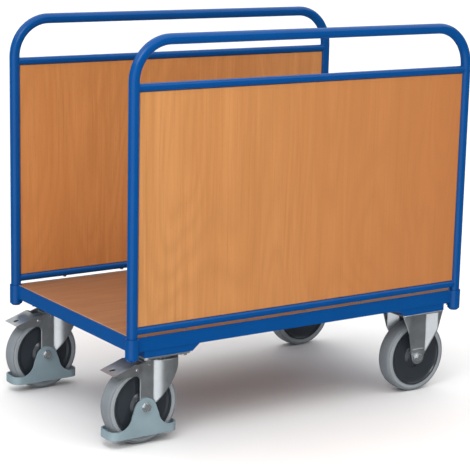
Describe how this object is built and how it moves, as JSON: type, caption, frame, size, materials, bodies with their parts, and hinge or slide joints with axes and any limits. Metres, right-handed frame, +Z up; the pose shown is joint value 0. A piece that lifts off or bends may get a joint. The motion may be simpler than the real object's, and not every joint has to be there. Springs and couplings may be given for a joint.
{
  "type": "platform trolley",
  "caption": "Platform trolley with a tubular, panelled side frame along each long side, braked swivel castors at one end and fixed castors at the other.",
  "frame": {"origin": "centre of the trolley's footprint, on the floor", "axes": "+X along the trolley from the braked swivel castors to the fixed castors, +Y from the near side frame to the far one, +Z up"},
  "size_m": [1.0968, 0.6636, 1.0193],
  "materials": {
    "blue_coat": "semi-gloss powder coat",
    "panel_board": "beech decor, satin",
    "deck_board": "beech decor, satin",
    "zinc_sheet": "bright zinc plated sheet",
    "zinc_fastener": "bright zinc plated",
    "bearing_steel": "polished",
    "tyre": "matt grey elastomer",
    "rim_plastic": "satin moulded",
    "guard_plastic": "satin moulded"
  },
  "bodies": {
    "cart": {"deck_board": "deck_board", "near_rail": "blue_coat", "far_rail": "blue_coat", "swivel_end_rail": "blue_coat", "fixed_end_rail": "blue_coat", "centre_bearer": "blue_coat", "deck_screws": "zinc_fastener", "near_swivel_socket": "blue_coat", "far_swivel_socket": "blue_coat", "near_fixed_socket": "blue_coat", "far_fixed_socket": "blue_coat", "socket_caps": "blue_coat", "socket_screws": "blue_coat", "near_hoop": "blue_coat", "far_hoop": "blue_coat", "near_upper_crosstube": "blue_coat", "near_lower_crosstube": "blue_coat", "far_upper_crosstube": "blue_coat", "far_lower_crosstube": "blue_coat", "near_panel": "panel_board", "far_panel": "panel_board", "panel_screws": "zinc_fastener", "panel_pins": "zinc_fastener", "swivel_channel": "blue_coat", "fixed_channel": "blue_coat", "castor_bolts": "zinc_fastener", "near_swivel_top_plate": "zinc_sheet", "near_swivel_kingpin": "zinc_fastener", "near_fixed_bracket": "zinc_sheet", "near_fixed_axle_set": "zinc_fastener", "far_swivel_top_plate": "zinc_sheet", "far_swivel_kingpin": "zinc_fastener", "far_fixed_bracket": "zinc_sheet", "far_fixed_axle_set": "zinc_fastener"},
    "near_swivel_castor": {"near_swivel_fork": "zinc_sheet", "near_swivel_ball_rows": "bearing_steel", "near_swivel_brake_rivets": "zinc_fastener", "near_swivel_guard": "guard_plastic", "near_swivel_axle_set": "zinc_fastener"},
    "near_swivel_wheel": {"near_swivel_tyre": "tyre", "near_swivel_rim": "rim_plastic", "near_swivel_bearings": "bearing_steel"},
    "near_pedal": {"near_swivel_pedal": "zinc_sheet"},
    "near_shoe": {"near_swivel_brake_shoe": "zinc_sheet"},
    "near_fixed_wheel": {"near_fixed_tyre": "tyre", "near_fixed_rim": "rim_plastic", "near_fixed_bearings": "bearing_steel"},
    "far_swivel_castor": {"far_swivel_fork": "zinc_sheet", "far_swivel_ball_rows": "bearing_steel", "far_swivel_brake_rivets": "zinc_fastener", "far_swivel_guard": "guard_plastic", "far_swivel_axle_set": "zinc_fastener"},
    "far_swivel_wheel": {"far_swivel_tyre": "tyre", "far_swivel_rim": "rim_plastic", "far_swivel_bearings": "bearing_steel"},
    "far_pedal": {"far_swivel_pedal": "zinc_sheet"},
    "far_shoe": {"far_swivel_brake_shoe": "zinc_sheet"},
    "far_fixed_wheel": {"far_fixed_tyre": "tyre", "far_fixed_rim": "rim_plastic", "far_fixed_bearings": "bearing_steel"}
  },
  "joints": [
    {"name": "near_swivel_turn", "type": "hinge", "parent": "cart", "child": "near_swivel_castor", "pos_m": [-0.39443, -0.265, 0.217], "axis": [0, 0, 1], "continuous": true},
    {"name": "near_swivel_roll", "type": "hinge", "parent": "near_swivel_castor", "child": "near_swivel_wheel", "pos_m": [-0.44843, -0.265, 0.1], "axis": [0, 1, 0], "continuous": true},
    {"name": "near_brake_press", "type": "hinge", "parent": "near_swivel_castor", "child": "near_pedal", "pos_m": [-0.47242, -0.265, 0.197], "axis": [0, -1, 0], "range_deg": [0, 12]},
    {"name": "near_shoe_press", "type": "hinge", "parent": "near_swivel_castor", "child": "near_shoe", "pos_m": [-0.43843, -0.265, 0.206], "axis": [0, -1, 0], "range_deg": [0, 3]},
    {"name": "near_fixed_roll", "type": "hinge", "parent": "cart", "child": "near_fixed_wheel", "pos_m": [0.42757, -0.265, 0.1], "axis": [0, 1, 0], "continuous": true},
    {"name": "far_swivel_turn", "type": "hinge", "parent": "cart", "child": "far_swivel_castor", "pos_m": [-0.39443, 0.265, 0.217], "axis": [0, 0, 1], "continuous": true},
    {"name": "far_swivel_roll", "type": "hinge", "parent": "far_swivel_castor", "child": "far_swivel_wheel", "pos_m": [-0.44843, 0.265, 0.1], "axis": [0, 1, 0], "continuous": true},
    {"name": "far_brake_press", "type": "hinge", "parent": "far_swivel_castor", "child": "far_pedal", "pos_m": [-0.47242, 0.265, 0.197], "axis": [0, -1, 0], "range_deg": [0, 12]},
    {"name": "far_shoe_press", "type": "hinge", "parent": "far_swivel_castor", "child": "far_shoe", "pos_m": [-0.43843, 0.265, 0.206], "axis": [0, -1, 0], "range_deg": [0, 3]},
    {"name": "far_fixed_roll", "type": "hinge", "parent": "cart", "child": "far_fixed_wheel", "pos_m": [0.42757, 0.265, 0.1], "axis": [0, 1, 0], "continuous": true}
  ],
  "couplings": [
    {"joint": "near_shoe_press", "follows": "near_brake_press", "ratio": 0.25},
    {"joint": "far_shoe_press", "follows": "far_brake_press", "ratio": 0.25}
  ]
}
